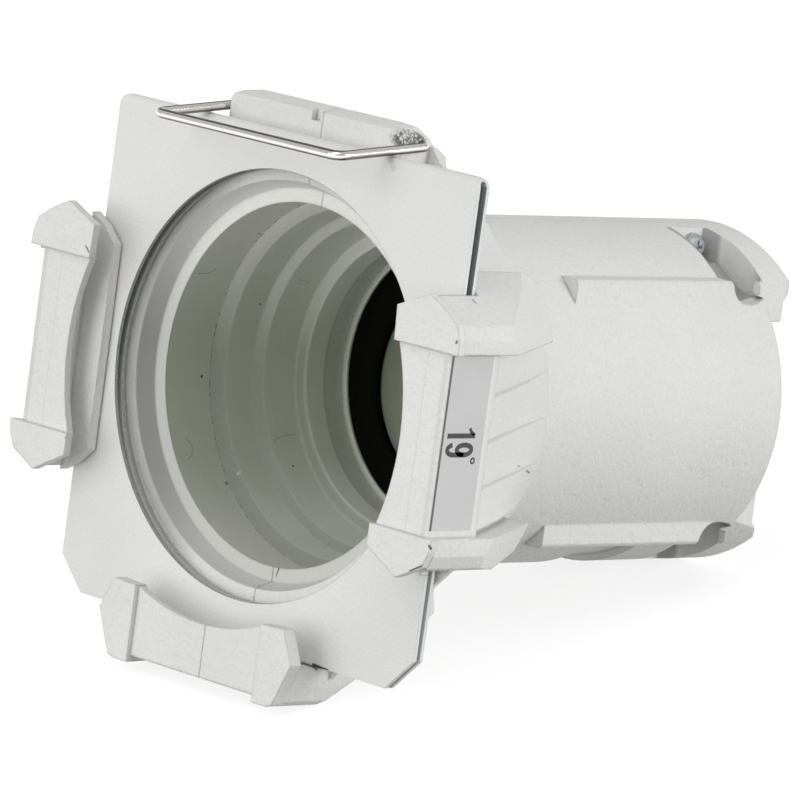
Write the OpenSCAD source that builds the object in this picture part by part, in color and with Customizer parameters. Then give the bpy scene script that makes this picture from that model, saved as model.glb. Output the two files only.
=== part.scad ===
// Lens tube of an ellipsoidal spotlight: two die-cast half shells joined just beside the middle,
// with a flared front that carries a colour frame, a hinged wire bail over the frame's slot,
// and the lens clamped inside. Millimetres. X to the right, Y from front to back, Z up.
// Y = 0 is the front face of the colour frame, X = Z = 0 is the optical axis.

/* [Tube] */
// Outside radius of the round tube
tube_radius = 55; // [53:0.5:57]
// Rear end of the tube, measured from the colour frame
tube_rear = 193; // [188:1:196]
// Half width of the square that the four corner rails are cut from
rail_half = 42.5; // [41:0.5:44]
// Radius over the corner rails
rail_radius = 59.3; // [58:0.1:60]
// Front end of the corner rails
rail_front = 88; // [80:1:100]
// Gap between the two half shells
seam_gap = 0.16; // [0.1:0.02:0.6]
// Sideways place of the joint between the half shells
seam_x = 3; // [0:0.5:4]

/* [Flare] */
// Front face of the flare
flare_front = 5.5; // [5:0.1:7]
// Where the flare meets the tube
flare_rear = 70; // [64:1:76]
// Half width of the flare at its front
flare_half = 88; // [87:0.1:90]
// Half length of the flare's straight sides
flare_flat = 34.6; // [33:0.1:36]
// Top edge of the flare
flare_top = 75; // [74:0.5:77]
// Bottom edge of the flare
flare_bottom = -86.8; // [-88:0.1:-85]
// Height of the side ribs at the front
rib_height = 2.9; // [1:0.1:2.9]

/* [Bore] */
// Radius of the bore at the front face
mouth_radius = 63; // [60:0.5:65]
// Height of the front bore's centre above the tube's axis
bore_lift = 1.2; // [0:0.1:2]
// Inner radius of the tube behind the lens
rear_bore = 51.5; // [50:0.5:52]
// Inner radius of the rear collar
collar_bore = 42; // [38:0.5:42.5]

/* [Frame holder] */
// Half length of the web of each holder bracket
web_half = 28.3; // [26:0.1:32]
// Where the lower pillars of the side brackets begin
web_low = 27.2; // [26:0.1:28.3]
// Outer face of each holder bracket
bracket_out = 91; // [90:0.1:92]
// Inner face of the bracket's outer wall
bracket_in = 80.2; // [80:0.1:81]
// Front face of the front lip
lip_front = -13.7; // [-15:0.1:-12]
// Thickness of the front lip
lip_sheet = 2.5; // [2:0.1:3]
// Radius of the front lip's inner edge
lip_radius = 74.5; // [72:0.5:76]
// Front face of the pillars
pillar_face = -15.2; // [-16:0.1:-14.5]
// How far the lower bracket sits nearer to the axis than the side ones
bottom_shift = 1.8; // [0:0.1:2]

/* [Colour frame] */
// Width of the colour frame
frame_width = 158.75; // [155:0.25:159.5]
// Lower edge of the frame
frame_bottom = -78.1; // [-78.3:0.1:-77]
// Upper edge of the frame
frame_top = 79.2; // [78:0.1:79.3]
// Thickness of the frame's sheet
frame_sheet = 1.2; // [0.8:0.1:1.5]
// Radius of the frame's opening
frame_opening = 66.5; // [60:0.5:70]

/* [Bail] */
// Radius of the bail's wire
wire = 1.5; // [1:0.1:1.8]
// Distance from the middle to each arm of the bail
arm_x = 40.6; // [40.2:0.1:42]
// Depth of the bail's pivot behind the colour frame's front face
pivot_y = 16; // [14:0.5:18]
// Height of the bail's pivot
pivot_z = 82.3; // [81:0.1:83.5]
// Length of the bail from pivot to front bar
bail_length = 37; // [35:0.5:40]
// Forward tilt of the bail at rest, in degrees
bail_tilt = 5.6; // [4:0.1:5.8]

/* [Lens] */
// Front face of the black ring in front of the lens
ring_front = 80.3; // [80:0.1:82]
// Inner radius of the black ring
ring_inner = 32.5; // [30:0.5:40]
// Outer radius of the lens
lens_radius = 46.2; // [44:0.1:46.3]

/* [Screws] */
// Radius of the screw shanks
shank = 2; // [1.5:0.1:2]
// Depth of the rear screws from the colour frame
rear_screw_y = 173.5; // [170:0.5:174]
// Height of the rear screws above and below the axis
rear_screw_z = 48.5; // [48.4:0.1:50]
// Depth of the front screws
front_screw_y = 20; // [18:0.5:24]
// Height of the front screws above and below the axis
front_screw_z = 67; // [66:0.5:68]

/* [Hidden] */
$fn = 64;
hole = shank + 0.1;
rib_front = flare_front + 1.5;
white = [0.87, 0.87, 0.86];
zinc = [0.72, 0.73, 0.74];
black = [0.04, 0.04, 0.04];

// ---- placing helpers ----

// A flat outline (X, Z) carried along Y
module along_y(y0, y1) {
    translate([0, y1, 0]) rotate([90, 0, 0]) linear_extrude(y1 - y0) children();
}

// A flat outline (Y, Z) carried along X
module along_x(x0, x1) {
    translate([x0, 0, 0]) rotate([90, 0, 90]) linear_extrude(x1 - x0) children();
}

// An outline (radius, Y) turned round the Y axis
module turned() {
    rotate([-90, 0, 0]) rotate_extrude($fn = 96) children();
}

// A rod along X
module rod_x(x0, x1, y, z, r) {
    translate([x0, y, z]) rotate([0, 90, 0]) cylinder(h = x1 - x0, r = r);
}

// ---- flare ----

module flare_outline() {
    polygon([[flare_half, -flare_flat], [flare_half, flare_flat], [38.3, flare_top],
        [-38.3, flare_top], [-flare_half, flare_flat], [-flare_half, -flare_flat],
        [-flare_flat, flare_bottom], [flare_flat, flare_bottom]]);
}

module flare() {
    hull() {
        along_y(flare_front, rib_front) flare_outline();
        translate([0, flare_rear, 0]) rotate([90, 0, 0])
            cylinder(h = 1, r = tube_radius - 0.4, $fn = 48);
        // the top and bottom faces run out further back than the sides
        translate([-9, flare_rear + 9, -tube_radius + 1]) cube([18, 1, 2 * tube_radius - 2]);
    }
}

// Outer surface of the flare's side at height z and share s of its depth
function flare_turn(z, s) = asin(min(1, max(-1, (z - sign(z) * flare_flat * (1 - s))
    / ((tube_radius - 0.4) * max(s, 0.001)))));
function flare_side(z, s) = abs(z) <= flare_flat * (1 - s)
    ? flare_half * (1 - s) + (tube_radius - 0.4) * s
    : flare_half * (1 - s) + (tube_radius - 0.4) * s * cos(flare_turn(z, s));

rib_steps = [0, 0.2, 0.4, 0.6, 0.8, 1];

// A V-shaped rib that runs back over the flare's side at height z
module side_rib(z) {
    points = [for (s = rib_steps)
        let (x = flare_side(z, s), h = rib_height * (1 - 0.95 * s),
            y = rib_front + (flare_rear - rib_front) * s)
            each [[x + h, y, z], [x - 3, y, z + 1.6 * (h + 3)], [x - 3, y, z - 1.1 * (h + 3)]]];
    last = len(rib_steps) - 1;
    faces = concat([[0, 1, 2]], [[3 * last, 3 * last + 2, 3 * last + 1]],
        [for (i = [0:last - 1]) each [
            [3 * i, 3 * i + 3, 3 * i + 1], [3 * i + 1, 3 * i + 3, 3 * i + 4],
            [3 * i + 1, 3 * i + 4, 3 * i + 2], [3 * i + 2, 3 * i + 4, 3 * i + 5],
            [3 * i + 2, 3 * i + 5, 3 * i], [3 * i, 3 * i + 5, 3 * i + 3]]]);
    polyhedron(points, faces, convexity = 4);
}

// ---- frame holder brackets, drawn on the right side ----

// Pillar outlines: distance from the axis, distance along the web
plate_upper = [[68.2, web_half], [67.6, 38.9], [80.5, 44.4], [87.3, 41.2], [93.3, 37.3], [95, 33],
    [95.3, web_half]];
plate_lower = [[68.2, web_low], [68.2, 34], [81.7, 41], [91.8, 36], [94.2, 31], [94.6, web_low]];
plate_bottom = [[68.6, web_half], [68.2, 38.2], [78.3, 43.2], [91.8, 37.2], [92.8, 34.5],
    [92.8, web_half]];
body_high = [[bracket_in, web_half], [93.7, web_half], [93.7, 32.5], [91.7, 36.8], [86.5, 40.2],
    [bracket_in, 44]];
body_low = [[bracket_in, web_low], [93.7, web_low], [93.7, 32.5], [91.6, 36.6], [86.5, 38.2],
    [bracket_in, 39.6]];
body_bottom = [[bracket_in, web_half], [92.7, web_half], [92.7, 35], [91, 37.4], [86, 39],
    [bracket_in, 40]];
slope_long = [[bracket_in, 44], [70.6, 49.6], [56, 41.6], [56, web_half]];
slope_short = [[79.5, 39.9], [56, 35], [56, web_half]];

// Web: front lip and outer wall between the two pillars
module bracket_web() {
    difference() {
        translate([0, 0, -web_half - 0.5]) linear_extrude(2 * web_half + 1)
            polygon([[62, lip_front], [bracket_out - 0.5, lip_front], [bracket_out, lip_front + 0.5],
                [bracket_out, rib_front + 0.1], [bracket_in, rib_front + 0.1],
                [bracket_in, lip_front + lip_sheet], [62, lip_front + lip_sheet]]);
        translate([0, -9, 0]) rotate([90, 0, 0]) cylinder(h = 8, r = lip_radius, $fn = 96);
    }
}

// Lip between the two slots
module middle_lip() {
    along_y(-4, -0.7)
        polygon([[69.7, -32.6], [75.5, -38], [81.2, -41], [81.2, 41], [75.5, 38], [69.7, 32.6]]);
}

// Pillar: front plate as far as plate_back, body, and a slope that runs back over the flare
module pillar(plate, plate_back, body, slope, reach = 104.5) {
    along_y(pillar_face, plate_back) polygon(plate);
    along_y(plate_back - 0.1, flare_front + 0.5) polygon(body);
    intersection() {
        along_y(flare_front, 50) polygon(concat(body, slope));
        turned() polygon([[0, 0], [reach, 0], [reach - 28.5, 51], [0, 51]]);
    }
}

module side_bracket(upper_body) {
    bracket_web();
    middle_lip();
    pillar(plate_upper, -12.4, upper_body, slope_long);
    mirror([0, 0, 1]) pillar(plate_lower, -12.4, body_low, slope_short);
}

module bottom_bracket() {
    translate([0, 0, bottom_shift]) rotate([0, 90, 0]) {
        bracket_web();
        along_y(-4, -0.7) translate([78.5, -29]) square([2.7, 58]);
        for (side = [0, 1]) mirror([0, 0, side])
            pillar(plate_bottom, -10.6, body_bottom, slope_short, 102.6);
    }
}

// ---- top boss ----

module top_boss() {
    intersection() {
        along_x(-60, 60)
            polygon([[flare_front + 2.2, 60], [flare_front + 2.2, 86.4], [14, 88.2], [16, 87.6],
                [27.5, 75.5], [36, 62]]);
        union() {
            along_y(0, 50)
                polygon([[-38, 60], [38, 60], [38, 84.5], [35.5, 87.2], [30, 88.4], [-30, 88.4],
                    [-35.5, 87.2], [-38, 84.5]]);
            // shoulders behind the swing of the bail's arms
            intersection() {
                along_y(19.5, 36)
                    polygon([[-47, 62], [47, 62], [46, 75.8], [42.8, 78.2], [41.1, 79.7], [39.4, 81.9],
                        [-39.4, 81.9], [-41.1, 79.7], [-42.8, 78.2], [-46, 75.8]]);
                linear_extrude(90)
                    polygon([[-47, 19], [47, 19], [39.4, 25.4], [37.5, 37], [-37.5, 37], [-39.4, 25.4]]);
            }
        }
    }
    translate([-38.3, flare_front, 62]) cube([76.6, 3, 16]);
}

// ---- rear end ----

module rear_rails() {
    along_y(rail_front, 172.3) intersection() {
        square(2 * rail_half, center = true);
        circle(r = rail_radius, $fn = 96);
    }
}

// Groove across the rail, seen from the side: round in front, with a pointed floor at the rear
groove = concat([for (a = [180:10:270]) [167.3 + 7.6 * cos(a), 42.8 + 7.6 * sin(a)]],
    [[171, 35.3], [174, 36], [176.4, 37], [172, 38.4], [172, 43], [159.7, 43]]);

// Cuts at the top of the rear end; mirrored for the bottom
module rear_channel() {
    for (side = [0, 1]) mirror([side, 0, 0]) {
        intersection() {
            along_y(155, 182) polygon([[9, 44], [16, 44], [29, 36], [30, 36], [30, 70], [9, 70]]);
            linear_extrude(80)
                polygon([[9, 162.8], [29, 160.3], [30, 160.3], [30, 180.4], [18, 180.8], [9, 178.3]]);
        }
        // pocket between the channel and the groove
        translate([0, 0, 42.8]) linear_extrude(30)
            polygon([[29, 160], [44, 159.7], [44, 164.5], [39.5, 172], [36.1, 178], [34.6, 180],
                [29, 180.45]]);
        translate([0, 0, 36.4]) linear_extrude(7)
            polygon([[29, 166.5], [43, 166.5], [39.5, 172], [36.1, 178], [34.6, 180], [29, 180.45]]);
        along_x(29, 70) polygon(groove);
    }
}

// The sides end short of the rim's top and bottom, with flat cheeks at the corners
module rear_sides() {
    along_x(-80, 80) translate([176, -26]) square([20, 55.5]);
    along_x(-80, 80)
        polygon([[186.5, -36], [186.5, 36], [189.3, 38.6], [192.8, 41.6], [196, 41.8], [196, -41.8],
            [192.8, -41.6], [189.3, -38.6]]);
    for (side = [0, 1]) mirror([side, 0, 0]) translate([0, 0, -46]) linear_extrude(92)
        polygon([[42.4, 176], [38.4, 195], [70, 195], [70, 176]]);
}

// Shallow recess under the tube
module under_recess() {
    intersection() {
        along_y(118, 142) difference() {
            circle(r = 70, $fn = 96);
            circle(r = tube_radius - 2.4, $fn = 96);
        }
        translate([-34, 110, -80]) cube([68, 40, 50]);
    }
}

// ---- bore ----

module front_bore() {
    translate([0, 0, bore_lift]) turned()
        polygon([[0, 0], [mouth_radius + 1.6, 0], [mouth_radius, flare_front], [60.9, 12],
            [56.3, 12], [58.6, 33.2], [54.8, 36], [54.2, 47.4], [51.3, 49.4], [50, 62],
            [45.6, 62.8], [44.7, 69.7], [46, 79.2], [44, 79.2], [44, 81], [0, 81]]);
}

// Groove that holds the rings and the lens, and the bore behind it
module rear_bore_cut() {
    turned()
        polygon([[0, 80.2], [46.5, 80.2], [46.5, 92.8], [42.5, 92.8], [42.5, 95],
            [rear_bore, 101], [rear_bore, 150], [collar_bore, 156], [collar_bore, 200], [0, 200]]);
}

// ---- the whole casting, then its two halves ----

module side_details(upper_body) {
    side_bracket(upper_body);
    for (z = [16.5, 2.5, -11.5, -25]) side_rib(z);
}

module casting_solid() {
    flare();
    along_y(60, tube_rear) circle(r = tube_radius, $fn = 96);
    rear_rails();
    side_details(body_high);
    mirror([1, 0, 0]) side_details(body_low);
    bottom_bracket();
    top_boss();
}

module casting() {
    difference() {
        casting_solid();
        front_bore();
        rear_bore_cut();
        rear_channel();
        mirror([0, 0, 1]) rear_channel();
        rear_sides();
        under_recess();
        // clearance for the rear screws
        for (z = [-rear_screw_z, rear_screw_z]) rod_x(-20, 20, rear_screw_y, z, hole);
        // front screws go in from the left and end in the right half
        for (z = [-front_screw_z, front_screw_z]) {
            rod_x(-30, 17, front_screw_y, z, hole);
            rod_x(-90, -14, front_screw_y, z, 4.9);
        }
        // pivot holes and the centre notch of the boss
        rod_x(29.5, 45, pivot_y, pivot_z, wire + 0.05);
        rod_x(-45, -29.5, pivot_y, pivot_z, wire + 0.05);
        translate([-1.75, 0, 83.5]) cube([3.5, flare_front + 4.2, 3.5]);
    }
}

module barrel_half_right() {
    color(white) intersection() {
        casting();
        translate([seam_x + seam_gap / 2, -40, -120]) cube([140, 260, 240]);
    }
}

module barrel_half_left() {
    color(white) intersection() {
        casting();
        translate([seam_x - 140 - seam_gap / 2, -40, -120]) cube([140, 260, 240]);
    }
}

// ---- colour frame ----

// Points of the fold's arc of radius r, from angle a0 to angle a1
function fold_arc(r, a0, a1) = [for (i = [0:16]) let (a = a0 + (a1 - a0) * i / 16)
    [2.5 + r * cos(a), frame_top - 2.5 + r * sin(a)]];

module gel_frame() {
    half = frame_width / 2;
    color([0.84, 0.84, 0.83]) difference() {
        intersection() {
            // front sheet, fold at the top, back sheet that leans in towards the bottom
            along_x(-half, half)
                polygon(concat([[0, frame_bottom]], fold_arc(2.5, 180, 0),
                    [[3.7, frame_bottom], [3.7 - frame_sheet, frame_bottom]],
                    fold_arc(2.5 - frame_sheet, 0, 180), [[frame_sheet, frame_bottom]]));
            along_y(-1, 7)
                polygon([[-half, frame_bottom + 10.5], [10.5 - half, frame_bottom],
                    [half - 10.5, frame_bottom], [half, frame_bottom + 10.5],
                    [half, frame_top - 3], [half - 0.8, frame_top - 0.8],
                    [half - 3, frame_top + 0.2], [3 - half, frame_top + 0.2],
                    [0.8 - half, frame_top - 0.8], [-half, frame_top - 3]]);
        }
        translate([0, 8, 1]) rotate([90, 0, 0]) cylinder(h = 10, r = frame_opening, $fn = 96);
    }
}

// ---- bail ----

// Quarter bend of the wire in the XY plane, turning from +Y to +X about its own corner
module bend(r, from) {
    rotate([0, 0, from]) rotate_extrude(angle = 90, $fn = 48) translate([r, 0]) circle(r = wire, $fn = 24);
}

module retaining_bail() {
    stub = arm_x - 2.5;
    color([0.8, 0.8, 0.8]) translate([0, pivot_y, pivot_z]) rotate([bail_tilt, 0, 0])
        for (side = [0, 1]) mirror([side, 0, 0]) {
            rotate([0, 90, 0]) translate([0, 0, 30]) cylinder(h = stub - 30, r = wire, $fn = 24);
            translate([stub, -2.5, 0]) bend(2.5, 0);
            translate([arm_x, -2.5, 0]) rotate([90, 0, 0])
                cylinder(h = bail_length - 6, r = wire, $fn = 24);
            translate([arm_x - 3.5, -bail_length + 3.5, 0]) bend(3.5, -90);
            translate([-0.01, -bail_length, 0]) rotate([0, 90, 0])
                cylinder(h = arm_x - 3.49, r = wire, $fn = 24);
        }
}

// ---- lens and its rings ----

module lens_ring_front() {
    color(black) turned()
        polygon([[ring_inner, ring_front + 1], [ring_inner + 1, ring_front], [46.3, ring_front],
            [46.3, ring_front + 3], [ring_inner, ring_front + 3]]);
}

// Plano-convex lens, its curved face to the front
module lens() {
    dome = 371;
    color([0.3, 0.32, 0.26]) intersection() {
        translate([0, 89.4, 0]) rotate([90, 0, 0]) cylinder(h = 9, r = lens_radius, $fn = 96);
        translate([0, 82 + dome, 0]) sphere(r = dome, $fn = 96);
    }
}

module lens_ring_rear() {
    color(black) turned() polygon([[39.5, 89.6], [46.3, 89.6], [46.3, 92.6], [39.5, 92.6]]);
}

// ---- label ----

module label_plate() {
    color([0.78, 0.78, 0.77]) translate([bracket_out + 0.05, -12.9, -25]) cube([0.35, 18.2, 52.7]);
}

// ---- screws, all along X ----

// Cross-recess pan head at the origin, head towards +X, shank towards -X
module screw(length) {
    color(zinc) difference() {
        union() {
            rotate([0, 90, 0]) cylinder(h = 2, r = 3.9, $fn = 48);
            translate([2, 0, 0]) rotate([0, 90, 0]) cylinder(h = 0.6, r1 = 3.9, r2 = 3, $fn = 48);
            translate([-length, 0, 0]) rotate([0, 90, 0]) cylinder(h = length + 0.1, r = shank, $fn = 48);
        }
        for (turn = [0, 90]) rotate([turn, 0, 0]) translate([1.4, -2, -0.45]) cube([2, 4, 0.9]);
    }
}

// Washer from x0 to x0 + 0.7
module washer(x0) {
    color(zinc) translate([x0, 0, 0]) rotate([0, 90, 0]) difference() {
        cylinder(h = 0.7, r = 4.3, $fn = 48);
        translate([0, 0, -1]) cylinder(h = 3, r = hole, $fn = 48);
    }
}

module nut(x0) {
    color(zinc) translate([x0, 0, 0]) rotate([0, 90, 0]) difference() {
        cylinder(h = 3.2, r = 4, $fn = 6);
        translate([0, 0, -1]) cylinder(h = 6, r = hole, $fn = 48);
    }
}

module at_rear(z) { translate([0, rear_screw_y, z]) children(); }
module at_front(z) { translate([0, front_screw_y, z]) children(); }

module screw_rear_top() { at_rear(rear_screw_z) translate([9.75, 0, 0]) screw(24.5); }
module washer_rear_top() { at_rear(rear_screw_z) washer(9.02); }
module nut_washer_rear_top() { at_rear(rear_screw_z) washer(-9.72); }
module nut_rear_top() { at_rear(rear_screw_z) nut(-12.94); }
module screw_rear_bottom() { at_rear(-rear_screw_z) translate([9.75, 0, 0]) screw(24.5); }
module washer_rear_bottom() { at_rear(-rear_screw_z) washer(9.02); }
module nut_washer_rear_bottom() { at_rear(-rear_screw_z) washer(-9.72); }
module nut_rear_bottom() { at_rear(-rear_screw_z) nut(-12.94); }
module screw_front_top() {
    at_front(front_screw_z) mirror([1, 0, 0]) translate([14.75, 0, 0]) screw(31);
}
module washer_front_top() { at_front(front_screw_z) washer(-14.72); }
module screw_front_bottom() {
    at_front(-front_screw_z) mirror([1, 0, 0]) translate([14.75, 0, 0]) screw(31);
}
module washer_front_bottom() { at_front(-front_screw_z) washer(-14.72); }

// ---- nodes ----

barrel_half_right();
barrel_half_left();
gel_frame();
retaining_bail();
lens();
lens_ring_front();
lens_ring_rear();
label_plate();
screw_rear_top();
washer_rear_top();
nut_washer_rear_top();
nut_rear_top();
screw_rear_bottom();
washer_rear_bottom();
nut_washer_rear_bottom();
nut_rear_bottom();
screw_front_top();
washer_front_top();
screw_front_bottom();
washer_front_bottom();
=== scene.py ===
"""Looks of the spotlight lens tube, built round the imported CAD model. Metres, in the row frame."""

import math

import bmesh
import bpy
from mathutils import Matrix, Vector


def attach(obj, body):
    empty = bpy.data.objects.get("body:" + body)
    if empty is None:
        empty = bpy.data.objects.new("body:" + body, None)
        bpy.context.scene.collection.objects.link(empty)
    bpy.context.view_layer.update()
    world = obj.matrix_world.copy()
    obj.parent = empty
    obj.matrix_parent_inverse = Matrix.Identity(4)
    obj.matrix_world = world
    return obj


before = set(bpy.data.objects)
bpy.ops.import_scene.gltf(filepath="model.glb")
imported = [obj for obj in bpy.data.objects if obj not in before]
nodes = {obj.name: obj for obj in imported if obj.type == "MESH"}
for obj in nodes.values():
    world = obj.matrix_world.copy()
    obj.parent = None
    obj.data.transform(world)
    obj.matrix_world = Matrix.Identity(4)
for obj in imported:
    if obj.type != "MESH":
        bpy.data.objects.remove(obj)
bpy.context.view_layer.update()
MM = 0.001


# ---------------------------------------------------------------- node helpers

class Shader:
    """A Principled material that is filled in node by node."""

    def __init__(self, name, **uniform):
        self.material = bpy.data.materials.new(name)
        self.material.use_nodes = True
        self.tree = self.material.node_tree
        self.bsdf = self.tree.nodes["Principled BSDF"]
        for socket, value in uniform.items():
            self.bsdf.inputs[socket.replace("_", " ")].default_value = value
        self.where = self.tree.nodes.new("ShaderNodeTexCoord").outputs["Object"]

    def add(self, kind, inputs=None, **settings):
        node = self.tree.nodes.new("ShaderNode" + kind)
        for key, value in settings.items():
            setattr(node, key, value)
        for key, value in (inputs or {}).items():
            if isinstance(value, bpy.types.NodeSocket):
                self.tree.links.new(value, node.inputs[key])
            else:
                node.inputs[key].default_value = value
        return node

    def link(self, output, socket):
        self.tree.links.new(output, self.bsdf.inputs[socket])

    def noise(self, scale, detail=2.0, roughness=0.5, distortion=0.0, where=None):
        return self.add("TexNoise", {"Vector": where or self.where, "Scale": scale, "Detail": detail,
                                     "Roughness": roughness, "Distortion": distortion}).outputs["Fac"]

    def band(self, value, low, high, out_low=0.0, out_high=1.0):
        """value from low..high mapped to out_low..out_high, clamped, with soft ends."""
        node = self.add("MapRange", {"Value": value, "From Min": low, "From Max": high,
                                     "To Min": out_low, "To Max": out_high}, interpolation_type="SMOOTHSTEP")
        return node.outputs["Result"]

    def between(self, value, start, full, ending, end):
        """1 from full to ending, fading to 0 at start and end; the four are in millimetres."""
        return self.times(self.band(value, start * MM, full * MM), self.band(value, ending * MM, end * MM, 1, 0))

    def math(self, operation, a, b=0.0):
        return self.add("Math", {0: a, 1: b}, operation=operation).outputs[0]

    def mix(self, factor, a, b):
        node = self.add("Mix", data_type="RGBA", blend_type="MIX")
        for index, value in ((0, factor), (6, a), (7, b)):
            if isinstance(value, bpy.types.NodeSocket):
                self.tree.links.new(value, node.inputs[index])
            else:
                node.inputs[index].default_value = value
        return node.outputs[2]

    def near(self, centre, size, stretch=(1, 1, 1)):
        """1 at centre, 0 at a distance of size or more; stretch makes it longer along an axis."""
        moved = self.add("VectorMath", {0: self.where, 1: centre}, operation="SUBTRACT").outputs[0]
        scaled = self.add("VectorMath", {0: moved, 1: [1 / s for s in stretch]},
                          operation="MULTIPLY").outputs[0]
        length = self.add("VectorMath", {0: scaled}, operation="LENGTH").outputs["Value"]
        return self.band(length, size * 0.55, size, 1.0, 0.0)

    def streak(self, start, end, width):
        """1 on the straight line from start to end, 0 at a distance of width or more."""
        a, b = Vector(start), Vector(end)
        moved = self.add("VectorMath", {0: self.where, 1: a}, operation="SUBTRACT").outputs[0]
        share = self.add("VectorMath", {0: moved, 1: (b - a) / (b - a).length_squared},
                         operation="DOT_PRODUCT").outputs["Value"]
        share = self.add("Clamp", {"Value": share}).outputs[0]
        foot = self.add("VectorMath", {0: b - a, "Scale": share}, operation="SCALE").outputs[0]
        away = self.add("VectorMath", {0: moved, 1: foot}, operation="DISTANCE").outputs["Value"]
        return self.band(away, width * 0.5, width, 1.0, 0.0)

    def parts(self):
        """The x, y and z coordinates in metres."""
        return self.add("SeparateXYZ", {0: self.where}).outputs

    def times(self, *factors):
        total = factors[0]
        for factor in factors[1:]:
            total = self.math("MULTIPLY", total, factor)
        return total

    def any_of(self, masks):
        total = masks[0]
        for mask in masks[1:]:
            total = self.math("MAXIMUM", total, mask)
        return total

    def bump(self, height, strength, distance, normal=None):
        inputs = {"Height": height, "Strength": strength, "Distance": distance}
        if normal is not None:
            inputs["Normal"] = normal
        return self.add("Bump", inputs).outputs["Normal"]

    def rounded(self, radius):
        return self.add("Bevel", {"Radius": radius}, samples=6).outputs["Normal"]


def paint(node_names, material):
    for name in node_names:
        mesh = nodes[name].data
        mesh.materials.clear()
        mesh.materials.append(material)


# ---------------------------------------------------------------- materials

# Chips in the powder coat, and two dark lines of painted shade, in the gap where the lower bracket meets the
# frame (30.6 to 42 mm across) and along the lower edge of the right pillar's front plate: two ends and half
# width, in millimetres
CHIPS_AND_GAP_SHADE = [((68.4, 45, -10.5), (64.5, 51, -12.2), 0.45), ((61.5, 56, -13.5), (57.5, 62, -15.0), 0.4),
         ((93.8, -15.2, 32.3), (93.9, -15, 32.5), 0.7), ((-70.2, -15.2, 31.8), (-68.5, -15.2, 30.2), 0.35),
         ((-71.1, -14, -27.2), (-68.2, -15.1, -28.5), 0.4), ((94.0, -15.2, -28.9), (94.3, -14.6, -29.7), 0.5),
         ((83.2, 1.9, 42.2), (82.0, 1.5, 42.9), 0.4), ((30.6, -0.6, -78.4), (42, -0.6, -78.4), 0.9),
         ((-38.2, 55.4, -32.1), (-38.4, 55.6, -32.2), 0.5), ((-51.9, 45, 17.3), (-51.9, 45.3, 17.1), 0.45),
         ((91.9, -15.2, -35.4), (87.5, -15.2, -37.8), 0.28), ((-42.5, 31.3, 41.2), (-42.5, 31.6, 41.2), 0.45),
         ((-57.6, 29.3, -7.0), (-57.6, 29.5, -7.0), 0.6), ((-43.1, 32, -38.4), (-43.1, 32.3, -38.4), 0.7),
         ((5.4, 12, -55), (4, 11.6, -59.7), 0.35), ((1.9, 7.8, -61), (2.5, 5.5, -64.5), 0.35)]
# Curved dark scratches in the bore: three points each
SCRATCHES = [((-50.4, 15.2, 27.1), (-50.9, 19.4, 27.0), (-50.6, 22.5, 28.4)),
             ((-50.5, 19.3, -25.4), (-49.0, 21.5, -28.5), (-46.9, 18.3, -31.1)),
             ((-43.5, 51, -25.7), (-44.2, 53.9, -23.9), (-43.9, 59.9, -23.1)),
             ((-44.2, 53.4, 26.4), (-44.3, 55.4, 26.3), (-44.3, 57.5, 25.4))]
# Broad pale smears in the bore: two ends and half width
SMEARS = [((-41.9, 24.1, 40.7), (-42.3, 33.9, 40.3), 0.9), ((-43.9, 33.7, 39.0), (-43.5, 38.3, 34.2), 0.8),
          ((-43.0, 28.5, -37.8), (-41.5, 36.0, -34.6), 0.8), ((-41.0, 31.8, -40.4), (-34.6, 32.8, -46.0), 0.8)]
# Rubbed patch at the end of the boss
RUBBED = ((38.6, 11, 83.9), 6.2, (1.3, 1.3, 0.62))
BORE_LIFT = 1.2
# Depths over which the bore steps in
BORE_STEPS = ((33.2, 36), (47.4, 49.4), (62, 62.8))


def in_mm(*points):
    return [tuple(c * MM for c in p) if isinstance(p, tuple) else p * MM for p in points]


def curve(start, middle, end, steps=4):
    """The short straight pieces of a curve from start to end that bends toward middle."""
    a, c = Vector(start), Vector(end)
    b = Vector(middle) * 2 - (a + c) / 2
    points = []
    for i in range(steps + 1):
        t = i / steps
        points.append(tuple(a * (1 - t) ** 2 + b * 2 * t * (1 - t) + c * t ** 2))
    return list(zip(points, points[1:]))


def bore_masks(s):
    """(1 inside the front bore, X, Y, Z, distance from the bore's axis)"""
    x, y, z = s.parts()
    lifted = s.math("SUBTRACT", z, BORE_LIFT * MM)
    radius = s.math("SQRT", s.math("ADD", s.times(x, x), s.times(lifted, lifted)))
    limit = s.band(y, 34 * MM, 74 * MM, 63.3 * MM, 52.5 * MM)
    inside = s.band(s.math("SUBTRACT", limit, radius), 0.0, 0.5 * MM)
    return s.times(inside, s.between(y, 5.4, 5.9, 98, 100)), x, y, z, radius


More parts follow.
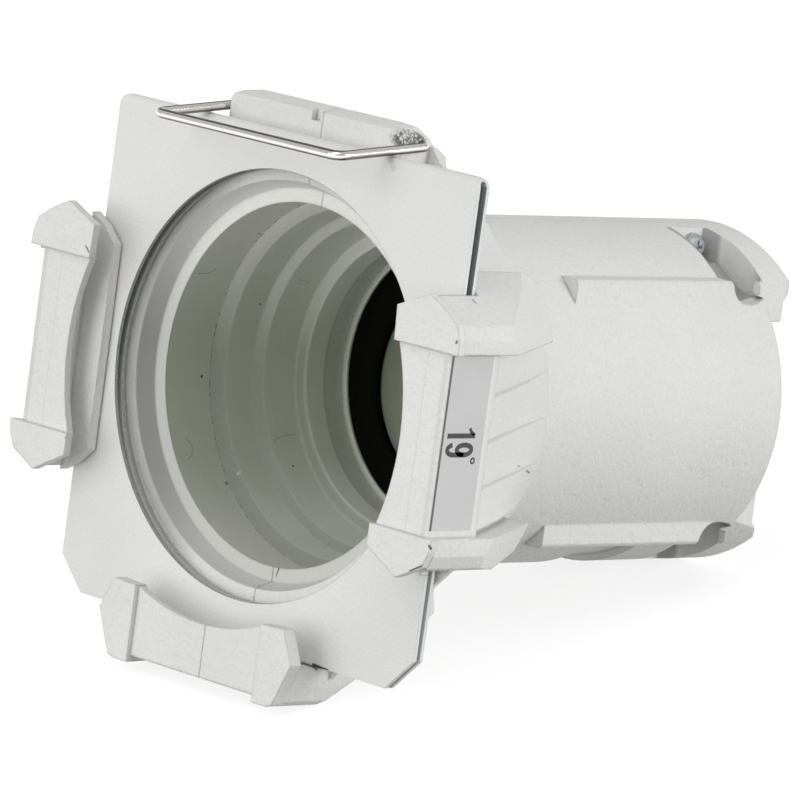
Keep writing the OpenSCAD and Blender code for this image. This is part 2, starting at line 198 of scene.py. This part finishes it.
def white_coat():
    """Powder coat on both halves, chipped and rubbed where it is handled; light and shade are painted into its
    colour in the bore, in creases and along some edges.
    """
    s = Shader("white_coat", IOR=1.5)
    peel = s.noise(620, 2.5, 0.55)
    grain = s.noise(2600, 2, 0.6)
    drift = s.noise(16, 3, 0.55)
    tone = s.mix(s.band(drift, 0.35, 0.7), (0.80, 0.797, 0.775, 1), (0.84, 0.838, 0.822, 1))
    # the bore, where light and shade are painted into the colour: olive grey walls are painted shade on the side
    # away from the lamps, paler walls painted light on the lit sides, and the grey mouth is painted darker on
    # its shaded side
    bore, x, y, z, radius = bore_masks(s)
    blotch = s.noise(45, 3, 0.6)
    olive = s.mix(blotch, (0.45, 0.48, 0.385, 1), (0.52, 0.55, 0.45, 1))
    pale = s.mix(blotch, (0.64, 0.66, 0.60, 1), (0.71, 0.725, 0.68, 1))
    # 1 on the lit sides of the bore, 0 on its shaded left side: the painted light and shade follow it
    away = s.band(s.math("DIVIDE", x, radius), -0.93, -0.35)
    shade = s.mix(away, olive, pale)
    # painted light: the far end of the bore is made lighter
    shade = s.mix(s.band(y, 69 * MM, 72 * MM, 0, 0.3), shade, (0.9, 0.92, 0.82, 1))
    # painted light: the first wall, up to the first step, is lighter, most on the lit sides
    first_wall_light = s.mix(away, (0.55, 0.58, 0.47, 1), (0.78, 0.79, 0.74, 1))
    shade = s.mix(s.band(y, 33 * MM, 34 * MM, 1, 0), shade, first_wall_light)
    # painted shade on the step faces, stronger low in the bore
    steps = s.any_of([s.between(y, start - 0.3, start + 0.3, end - 0.3, end + 0.3) for start, end in BORE_STEPS])
    height = s.math("DIVIDE", s.math("SUBTRACT", z, BORE_LIFT * MM), radius)
    shade = s.mix(s.times(steps, s.band(height, -0.2, 0.5, 0.66, 0.3)), shade, (0.12, 0.13, 0.10, 1))
    # painted shade: the mouth, up to 12.5 mm deep, is darker on its shaded side
    mouth_shade = s.mix(away, (0.38, 0.385, 0.37, 1), (0.64, 0.64, 0.62, 1))
    shade = s.mix(s.band(y, 12.3 * MM, 12.7 * MM, 1, 0), shade, mouth_shade)
    # painted light on the front-facing ring at the back of the mouth
    shoulder_light = s.between(y, 11.8, 11.9, 12.1, 12.2)
    shade = s.mix(s.times(shoulder_light, 0.8), shade, (0.66, 0.66, 0.63, 1))
    # painted shade low in the bore
    shade = s.mix(s.band(height, -0.8, -0.2, 0.1, 0.0), shade, (0.2, 0.2, 0.17, 1))
    # painted light high in the bore, strongest on the first wall
    top_light = s.band(height, 0.0, 0.9)
    shade = s.mix(s.times(top_light, s.band(y, 33 * MM, 36 * MM, 0.88, 0.5)), shade, (0.93, 0.94, 0.90, 1))
    tone = s.mix(bore, tone, shade)
    # painted shade on the front end of the flare, inside the frame's opening, on its far, shaded side
    lip_shade = s.times(s.band(y, 5.6 * MM, 5.8 * MM, 1, 0), s.band(radius, 66.6 * MM, 66.8 * MM, 1, 0),
                  s.band(s.math("DIVIDE", x, radius), -0.7, -0.3, 1, 0))
    tone = s.mix(s.times(lip_shade, 0.9), tone, (0.46, 0.46, 0.44, 1))
    # the narrow channel at the back sees little light
    across = s.math("ABSOLUTE", x)
    aside = s.math("ABSOLUTE", z)
    from_axis = s.math("SQRT", s.math("ADD", s.times(x, x), s.times(z, z)))
    pocket = s.times(s.between(across, 9.0, 9.2, 35.5, 36.5), s.between(aside, 34.9, 35.1, 54.4, 54.7),
                     s.between(y, 160, 160.6, 179.8, 180.4), s.band(from_axis, 42.3 * MM, 42.7 * MM))
    tone = s.mix(s.times(pocket, 0.5), tone, (0.06, 0.06, 0.055, 1))
    # painted shade: a broken dark line in the corner where the first step begins
    step_corner_shade = s.times(bore, s.between(y, 32.95, 33.1, 33.25, 33.4))
    tone = s.mix(s.times(step_corner_shade, s.band(s.noise(750, 3, 0.7), 0.5, 0.6, 0.1, 0.9)), tone,
                 (0.05, 0.05, 0.045, 1))
    scored = s.any_of([s.streak(*in_mm(start, end, 0.3)) for line in SCRATCHES for start, end in curve(*line)])
    tone = s.mix(s.times(scored, 0.5), tone, (0.18, 0.18, 0.15, 1))
    smeared = s.any_of([s.streak(*in_mm(*line)) for line in SMEARS])
    smeared = s.times(smeared, s.band(s.noise(600, 3, 0.7), 0.4, 0.6, 0.1, 0.6))
    tone = s.mix(smeared, tone, (0.72, 0.73, 0.68, 1))
    # on the front of the webs: a faint dark line, and a darker strip inside the outer edge that is painted shade
    # where the face rounds off
    face = s.times(s.band(y, -13.6 * MM, -13.4 * MM, 1, 0), s.band(aside, 27.0 * MM, 27.4 * MM, 1, 0))
    crease = s.times(face, s.between(across, 81.3, 81.7, 81.8, 82.2))
    rim_shade = s.times(face, s.between(across, 88.2, 88.9, 90.0, 90.3))
    tone = s.mix(s.math("MAXIMUM", s.times(crease, 0.22), s.times(rim_shade, 0.30)), tone, (0.50, 0.50, 0.48, 1))
    mottle = s.times(s.band(s.noise(1150, 3, 0.65), 0.42, 0.62), 0.10)
    tone = s.mix(mottle, tone, (0.42, 0.42, 0.40, 1))
    # painted shade in creases and corners, taken from ambient occlusion
    crevice_shade = s.add("AmbientOcclusion", {"Distance": 2.2 * MM}, samples=6, only_local=True).outputs["AO"]
    tone = s.mix(s.band(crevice_shade, 0.35, 0.8, 0.42, 0.0), tone, (0.25, 0.25, 0.23, 1))
    specks = s.band(grain, 0.70, 0.76)
    tone = s.mix(s.times(specks, 0.3), tone, (0.55, 0.54, 0.51, 1))
    pits = s.band(s.noise(900, 3, 0.7), 0.745, 0.76)
    tone = s.mix(s.times(pits, 0.7), tone, (0.09, 0.085, 0.08, 1))
    # chips, and the two lines of painted shade in the gap and along the plate's edge
    chips_and_gap_shade = s.times(s.any_of([s.streak(*in_mm(*line)) for line in CHIPS_AND_GAP_SHADE]),
                    s.band(s.noise(900, 2, 0.6), 0.40, 0.5, 0.35, 1.0))
    tone = s.mix(chips_and_gap_shade, tone, (0.06, 0.055, 0.05, 1))
    centre, size, stretch = RUBBED
    patch = s.times(s.near(*in_mm(centre, size), stretch), s.band(s.noise(700, 4, 0.75), 0.46, 0.55))
    tone = s.mix(patch, tone, (0.13, 0.125, 0.115, 1))
    s.link(tone, "Base Color")
    s.link(s.band(peel, 0.3, 0.7, 0.42, 0.6), "Roughness")
    worn = s.math("SUBTRACT", peel, s.math("MAXIMUM", chips_and_gap_shade, patch))
    calm = s.math("SUBTRACT", 1.0, s.times(bore, 0.8))
    normal = s.bump(worn, s.times(calm, 0.6), 0.4 * MM, s.rounded(1.0 * MM))
    normal = s.bump(s.band(s.noise(300, 2, 0.5), 0.56, 0.70, 1, 0), s.times(calm, 0.45), 0.3 * MM, normal)
    s.link(s.bump(grain, s.times(calm, 0.6), 0.16 * MM, normal), "Normal")
    return s.material


def frame_paint():
    """Paint on folded sheet: bare zinc on the cut edges, light and shade painted inside the fold and in the gap
    under the lower bracket.
    """
    s = Shader("frame_paint", IOR=1.5)
    x, y, z = s.parts()
    peel = s.noise(700, 2, 0.5)
    drift = s.noise(20, 3, 0.55)
    tone = s.mix(s.band(drift, 0.3, 0.7), (0.79, 0.787, 0.772, 1), (0.83, 0.827, 0.812, 1))
    # bare zinc on the cut edges, paint rubbed grey where the bail's arm touches
    side = s.band(s.math("ABSOLUTE", x), 79.1 * MM, 79.25 * MM)
    tone = s.mix(side, tone, (0.80, 0.84, 0.84, 1))
    # inside the folded sheet: painted shade near the top, painted lighter lower down, where light falls into the
    # fold
    rear_sheet = s.add("Math", {0: z, 1: 0.0084, 2: 3.16 * MM}, operation="MULTIPLY_ADD").outputs[0]
    inner = s.times(s.band(y, 1.12 * MM, 1.18 * MM), s.band(s.math("SUBTRACT", rear_sheet, y), -0.08 * MM, 0),
                    s.band(z, 76.4 * MM, 76.6 * MM, 1, 0))
    gap_light_and_shade = s.mix(s.band(z, -40 * MM, 10 * MM), (0.75, 0.76, 0.75, 1), (0.36, 0.395, 0.40, 1))
    tone = s.mix(inner, tone, gap_light_and_shade)
    # the opening's sheared edge is dull grey
    lifted = s.math("SUBTRACT", z, 1 * MM)
    radius = s.math("SQRT", s.math("ADD", s.times(x, x), s.times(lifted, lifted)))
    sheared = s.band(radius, 66.55 * MM, 66.65 * MM, 1, 0)
    tone = s.mix(s.times(sheared, s.band(s.noise(1300, 2, 0.6), 0.3, 0.7, 0.65, 1.0)), tone,
                 (0.34, 0.34, 0.325, 1))
    rub = s.times(s.streak(*in_mm((40.2, 0.6, 79), (43.5, 0, 76), 1.4)),
                  s.band(s.noise(900, 3, 0.7), 0.4, 0.6, 0.1, 0.45))
    tone = s.mix(rub, tone, (0.36, 0.35, 0.33, 1))
    # painted shade: a dark line in the gap where the lower bracket's pillar meets the frame
    tone = s.mix(s.streak(*in_mm((37.5, 0, -77.7), (44, 0, -78.1), 0.6)), tone, (0.06, 0.055, 0.05, 1))
    mottle = s.times(s.band(s.noise(1250, 3, 0.65), 0.42, 0.62), 0.08)
    tone = s.mix(mottle, tone, (0.42, 0.42, 0.40, 1))
    pits = s.band(s.noise(900, 3, 0.7), 0.745, 0.76)
    tone = s.mix(s.times(pits, 0.6), tone, (0.12, 0.115, 0.11, 1))
    s.link(tone, "Base Color")
    s.link(s.band(peel, 0.3, 0.7, 0.38, 0.52), "Roughness")
    s.link(s.bump(peel, 0.6, 0.35 * MM, s.rounded(0.3 * MM)), "Normal")
    return s.material


def metal(name, colour, rough_low, rough_high, scale):
    """Bare metal with fine grain."""
    s = Shader(name, Metallic=1.0)
    grain = s.noise(scale, 3, 0.6)
    s.link(s.mix(grain, [c * 0.85 for c in colour] + [1], list(colour) + [1]), "Base Color")
    s.link(s.band(grain, 0.3, 0.7, rough_low, rough_high), "Roughness")
    s.link(s.bump(grain, 0.08, 0.03 * MM), "Normal")
    return s.material


def bright_wire():
    """Polished wire with reflections painted into its colour: bright along its upper front, dark brown
    underneath and along its back, a dark line along its top.
    """
    s = Shader("bright_wire", Metallic=1.0)
    grain = s.noise(900, 3, 0.6)
    facing = s.add("SeparateXYZ", {0: s.add("TexCoord").outputs["Normal"]}).outputs
    # painted reflections, chosen by which way the surface faces
    upward = s.math("SUBTRACT", facing[2], s.times(facing[1], 0.35))
    tone = s.mix(s.band(upward, -0.5, 0.0), (0.16, 0.15, 0.13, 1), (0.88, 0.86, 0.81, 1))
    tone = s.mix(s.band(upward, 0.1, 0.3), tone, (0.95, 0.94, 0.91, 1))
    tone = s.mix(s.band(upward, 0.88, 0.98), tone, (0.12, 0.115, 0.105, 1))
    tone = s.mix(s.band(grain, 0.4, 0.8, 0, 0.25), tone, (0.45, 0.44, 0.42, 1))
    s.link(tone, "Base Color")
    s.link(s.band(grain, 0.3, 0.7, 0.10, 0.2), "Roughness")
    return s.material


def black_rubber():
    """Matt black ring that swallows the light."""
    s = Shader("black_rubber", Roughness=0.8, Specular_IOR_Level=0.05)
    grain = s.noise(1800, 3, 0.6)
    s.link(s.mix(grain, (0.0015, 0.0015, 0.0015, 1), (0.004, 0.004, 0.0035, 1)), "Base Color")
    s.link(s.bump(grain, 0.2, 0.05 * MM), "Normal")
    return s.material


def lens_glass():
    """Glass over a dark tube: a smooth green-grey surface."""
    s = Shader("lens_glass", Roughness=0.03, IOR=1.5, Coat_Weight=0.3, Coat_Roughness=0.02)
    haze = s.noise(60, 3, 0.6)
    s.link(s.mix(haze, (0.18, 0.207, 0.153, 1), (0.216, 0.243, 0.185, 1)), "Base Color")
    return s.material


def label_film():
    """Grey printed film."""
    s = Shader("label_film", Roughness=0.45)
    y = s.parts()[1]
    fibre = s.noise(1500, 3, 0.6)
    drift = s.noise(70, 2, 0.5)
    tone = s.mix(drift, (0.60, 0.60, 0.605, 1), (0.68, 0.68, 0.685, 1))
    tone = s.mix(s.band(fibre, 0.62, 0.7, 0, 0.3), tone, (0.46, 0.46, 0.465, 1))
    # dark line along the front edge, white margin along the rear one
    tone = s.mix(s.band(y, -12.55 * MM, -12.4 * MM, 1, 0), tone, (0.13, 0.13, 0.13, 1))
    tone = s.mix(s.band(y, 4.1 * MM, 4.3 * MM), tone, (0.83, 0.83, 0.82, 1))
    s.link(tone, "Base Color")
    s.link(s.bump(fibre, 0.1, 0.03 * MM), "Normal")
    return s.material


def mark_ink():
    """Black ink of the digits."""
    s = Shader("mark_ink", Roughness=0.5)
    s.link(s.mix(s.noise(900, 3, 0.6), (0.022, 0.022, 0.022, 1), (0.05, 0.05, 0.05, 1)), "Base Color")
    return s.material


paint(["barrel_half_right", "barrel_half_left"], white_coat())
paint(["gel_frame"], frame_paint())
paint(["retaining_bail"], bright_wire())
paint(["lens_ring_front", "lens_ring_rear"], black_rubber())
paint(["lens"], lens_glass())
paint(["label_plate"], label_film())
fasteners = [n for n in nodes if n.startswith(("screw", "washer", "nut"))]
paint(fasteners, metal("zinc_plate", (0.62, 0.64, 0.66), 0.25, 0.42, 1200))


# ---------------------------------------------------------------- beam angle on the label

# X of the label's face, height of the ink over it, Y of the digits' feet and width of a stroke, in mm
LABEL_FACE, INK, MARK_FOOT, STROKE = 91.39, 0.06, -11.1, 1.5


def arc(centre, radii, start, end, steps=12):
    """Points on an ellipse arc, angles in degrees."""
    angles = [math.radians(start + (end - start) * i / steps) for i in range(steps + 1)]
    return [(centre[0] + radii[0] * math.cos(a), centre[1] + radii[1] * math.sin(a)) for a in angles]


def add_stroke(shape, points, width, closed=False):
    """A flat raised ribbon of that width along points: reading direction, height, in millimetres."""
    count = len(points)
    rings = []
    for i, point in enumerate(points):
        before = points[(i - 1) % count] if closed or i else point
        after = points[(i + 1) % count] if closed or i < count - 1 else point
        run = (Vector(after) - Vector(before)).normalized()
        side = Vector((-run.y, run.x)) * width / 2
        ring = []
        for sign, height in ((1, 0), (1, INK), (-1, INK), (-1, 0)):
            x, y = Vector(point) + side * sign
            ring.append(shape.verts.new(((LABEL_FACE + height) * MM, (MARK_FOOT + y) * MM, -x * MM)))
        rings.append(ring)
    for i in range(count if closed else count - 1):
        a, b = rings[i], rings[(i + 1) % count]
        for j in range(4):
            k = (j + 1) % 4
            shape.faces.new((a[j], a[k], b[k], b[j]))
    if not closed:
        shape.faces.new(rings[0])
        shape.faces.new(rings[-1][::-1])


def beam_angle_mark():
    """The two digits and the degree ring, read with the tube standing on its front end."""
    shape = bmesh.new()
    add_stroke(shape, [(-3.7, 0), (-3.7, 11.7)], STROKE)
    add_stroke(shape, [(-6.0, 9.2), (-4.9, 9.8), (-4.0, 11.3)], STROKE * 0.7)
    bowl = arc((0.55, 7.8), (1.5, 3.1), 0, 360, 28)[:-1]
    add_stroke(shape, bowl, STROKE, closed=True)
    tail = [(2.05, 7.8), (2.05, 3.4)] + arc((0.55, 3.4), (1.5, 2.75), 0, -165, 14)
    add_stroke(shape, tail, STROKE)
    add_stroke(shape, arc((3.9, 12.0), (0.8, 0.72), 0, 360, 20)[:-1], 0.55, closed=True)
    bmesh.ops.recalc_face_normals(shape, faces=shape.faces)
    mesh = bpy.data.meshes.new("beam_angle_mark")
    shape.to_mesh(mesh)
    shape.free()
    obj = bpy.data.objects.new("beam_angle_mark", mesh)
    bpy.context.scene.collection.objects.link(obj)
    mesh.materials.append(mark_ink())
    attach(obj, "tube")


beam_angle_mark()


# ---------------------------------------------------------------- stage, light, camera

# The tube stands on the rear edge of the lower bracket and on the lowest point of its rear end
front_foot = Vector((0, 6.1 * MM, -91 * MM))
rear_foot = Vector((0, 193 * MM, -55.1 * MM))
along = (rear_foot - front_foot).normalized()
world_up = Vector((1, 0, 0)).cross(along).normalized()


def new_plane(name, centre, normal, size):
    """A square of twice that size, facing along normal."""
    mesh = bpy.data.meshes.new(name)
    shape = bmesh.new()
    bmesh.ops.create_grid(shape, x_segments=1, y_segments=1, size=size)
    shape.to_mesh(mesh)
    shape.free()
    obj = bpy.data.objects.new(name, mesh)
    bpy.context.scene.collection.objects.link(obj)
    obj.matrix_world = Matrix.Translation(centre) @ normal.to_track_quat("Z", "Y").to_matrix().to_4x4()
    return obj


floor = new_plane("floor", front_foot.lerp(rear_foot, 0.5) - world_up * 0.2 * MM, world_up, 6)
floor_shader = Shader("floor", Roughness=0.85, Emission_Color=(1, 1, 1, 1), Emission_Strength=0.72)
floor_shader.link(floor_shader.mix(floor_shader.noise(3, 2), (0.50, 0.50, 0.50, 1), (0.52, 0.52, 0.52, 1)),
                  "Base Color")
floor.data.materials.append(floor_shader.material)
floor.visible_diffuse = False

# Soft studio surround: white at eye level, dimmer overhead and below
world = bpy.data.worlds.new("studio")
bpy.context.scene.world = world
world.use_nodes = True
tree = world.node_tree
place = tree.nodes.new("ShaderNodeTexCoord").outputs["Generated"]
rise = tree.nodes.new("ShaderNodeVectorMath")
rise.operation = "DOT_PRODUCT"
tree.links.new(place, rise.inputs[0])
rise.inputs[1].default_value = world_up
ramp = tree.nodes.new("ShaderNodeValToRGB")
shift = tree.nodes.new("ShaderNodeMapRange")
shift.inputs["From Min"].default_value = -1.0
tree.links.new(rise.outputs["Value"], shift.inputs["Value"])
tree.links.new(shift.outputs["Result"], ramp.inputs["Fac"])
ramp.color_ramp.elements[0].color = (0.15, 0.15, 0.145, 1)
ramp.color_ramp.elements[1].color = (0.46, 0.465, 0.47, 1)
for position, level in ((0.42, 0.30), (0.485, 1.0), (0.53, 1.0), (0.58, 0.52)):
    ramp.color_ramp.elements.new(position).color = (level, level, level, 1)
tree.links.new(ramp.outputs["Color"], tree.nodes["Background"].inputs["Color"])


def area_light(name, place, target, size, power):
    data = bpy.data.lights.new(name, "AREA")
    data.shape = "SQUARE"
    data.size = size
    data.energy = power
    light = bpy.data.objects.new(name, data)
    bpy.context.scene.collection.objects.link(light)
    aim = Vector(target) - Vector(place)
    light.matrix_world = Matrix.Translation(place) @ aim.to_track_quat("-Z", "Y").to_matrix().to_4x4()
    return light


middle = (0, 0.08, 0)
area_light("side", (1.9, 0.75, 0.35), middle, 1.3, 22)
area_light("front", (-0.35, -2.2, 0.2), middle, 2.0, 21.8)
area_light("top", (0.3, -1.3, 1.6), middle, 1.4, 7)

# Camera: where the photograph was taken from, looking along `look`
look = Vector((-0.69362, 0.70716, -0.13721)).normalized()
up = Vector((-0.19083, 0.00328, 0.98162))
right = look.cross(up).normalized()
up = right.cross(look)
camera_data = bpy.data.cameras.new("camera")
camera_data.lens = 319.03
camera_data.sensor_width = 36
camera_data.clip_end = 50
camera = bpy.data.objects.new("camera", camera_data)
camera.matrix_world = Matrix.Translation((1.53214, -1.50181, 0.29962)) @ Matrix(
    (right, up, -look)).transposed().to_4x4()
bpy.context.scene.collection.objects.link(camera)
bpy.context.scene.camera = camera
bpy.context.scene.view_settings.view_transform = "Standard"
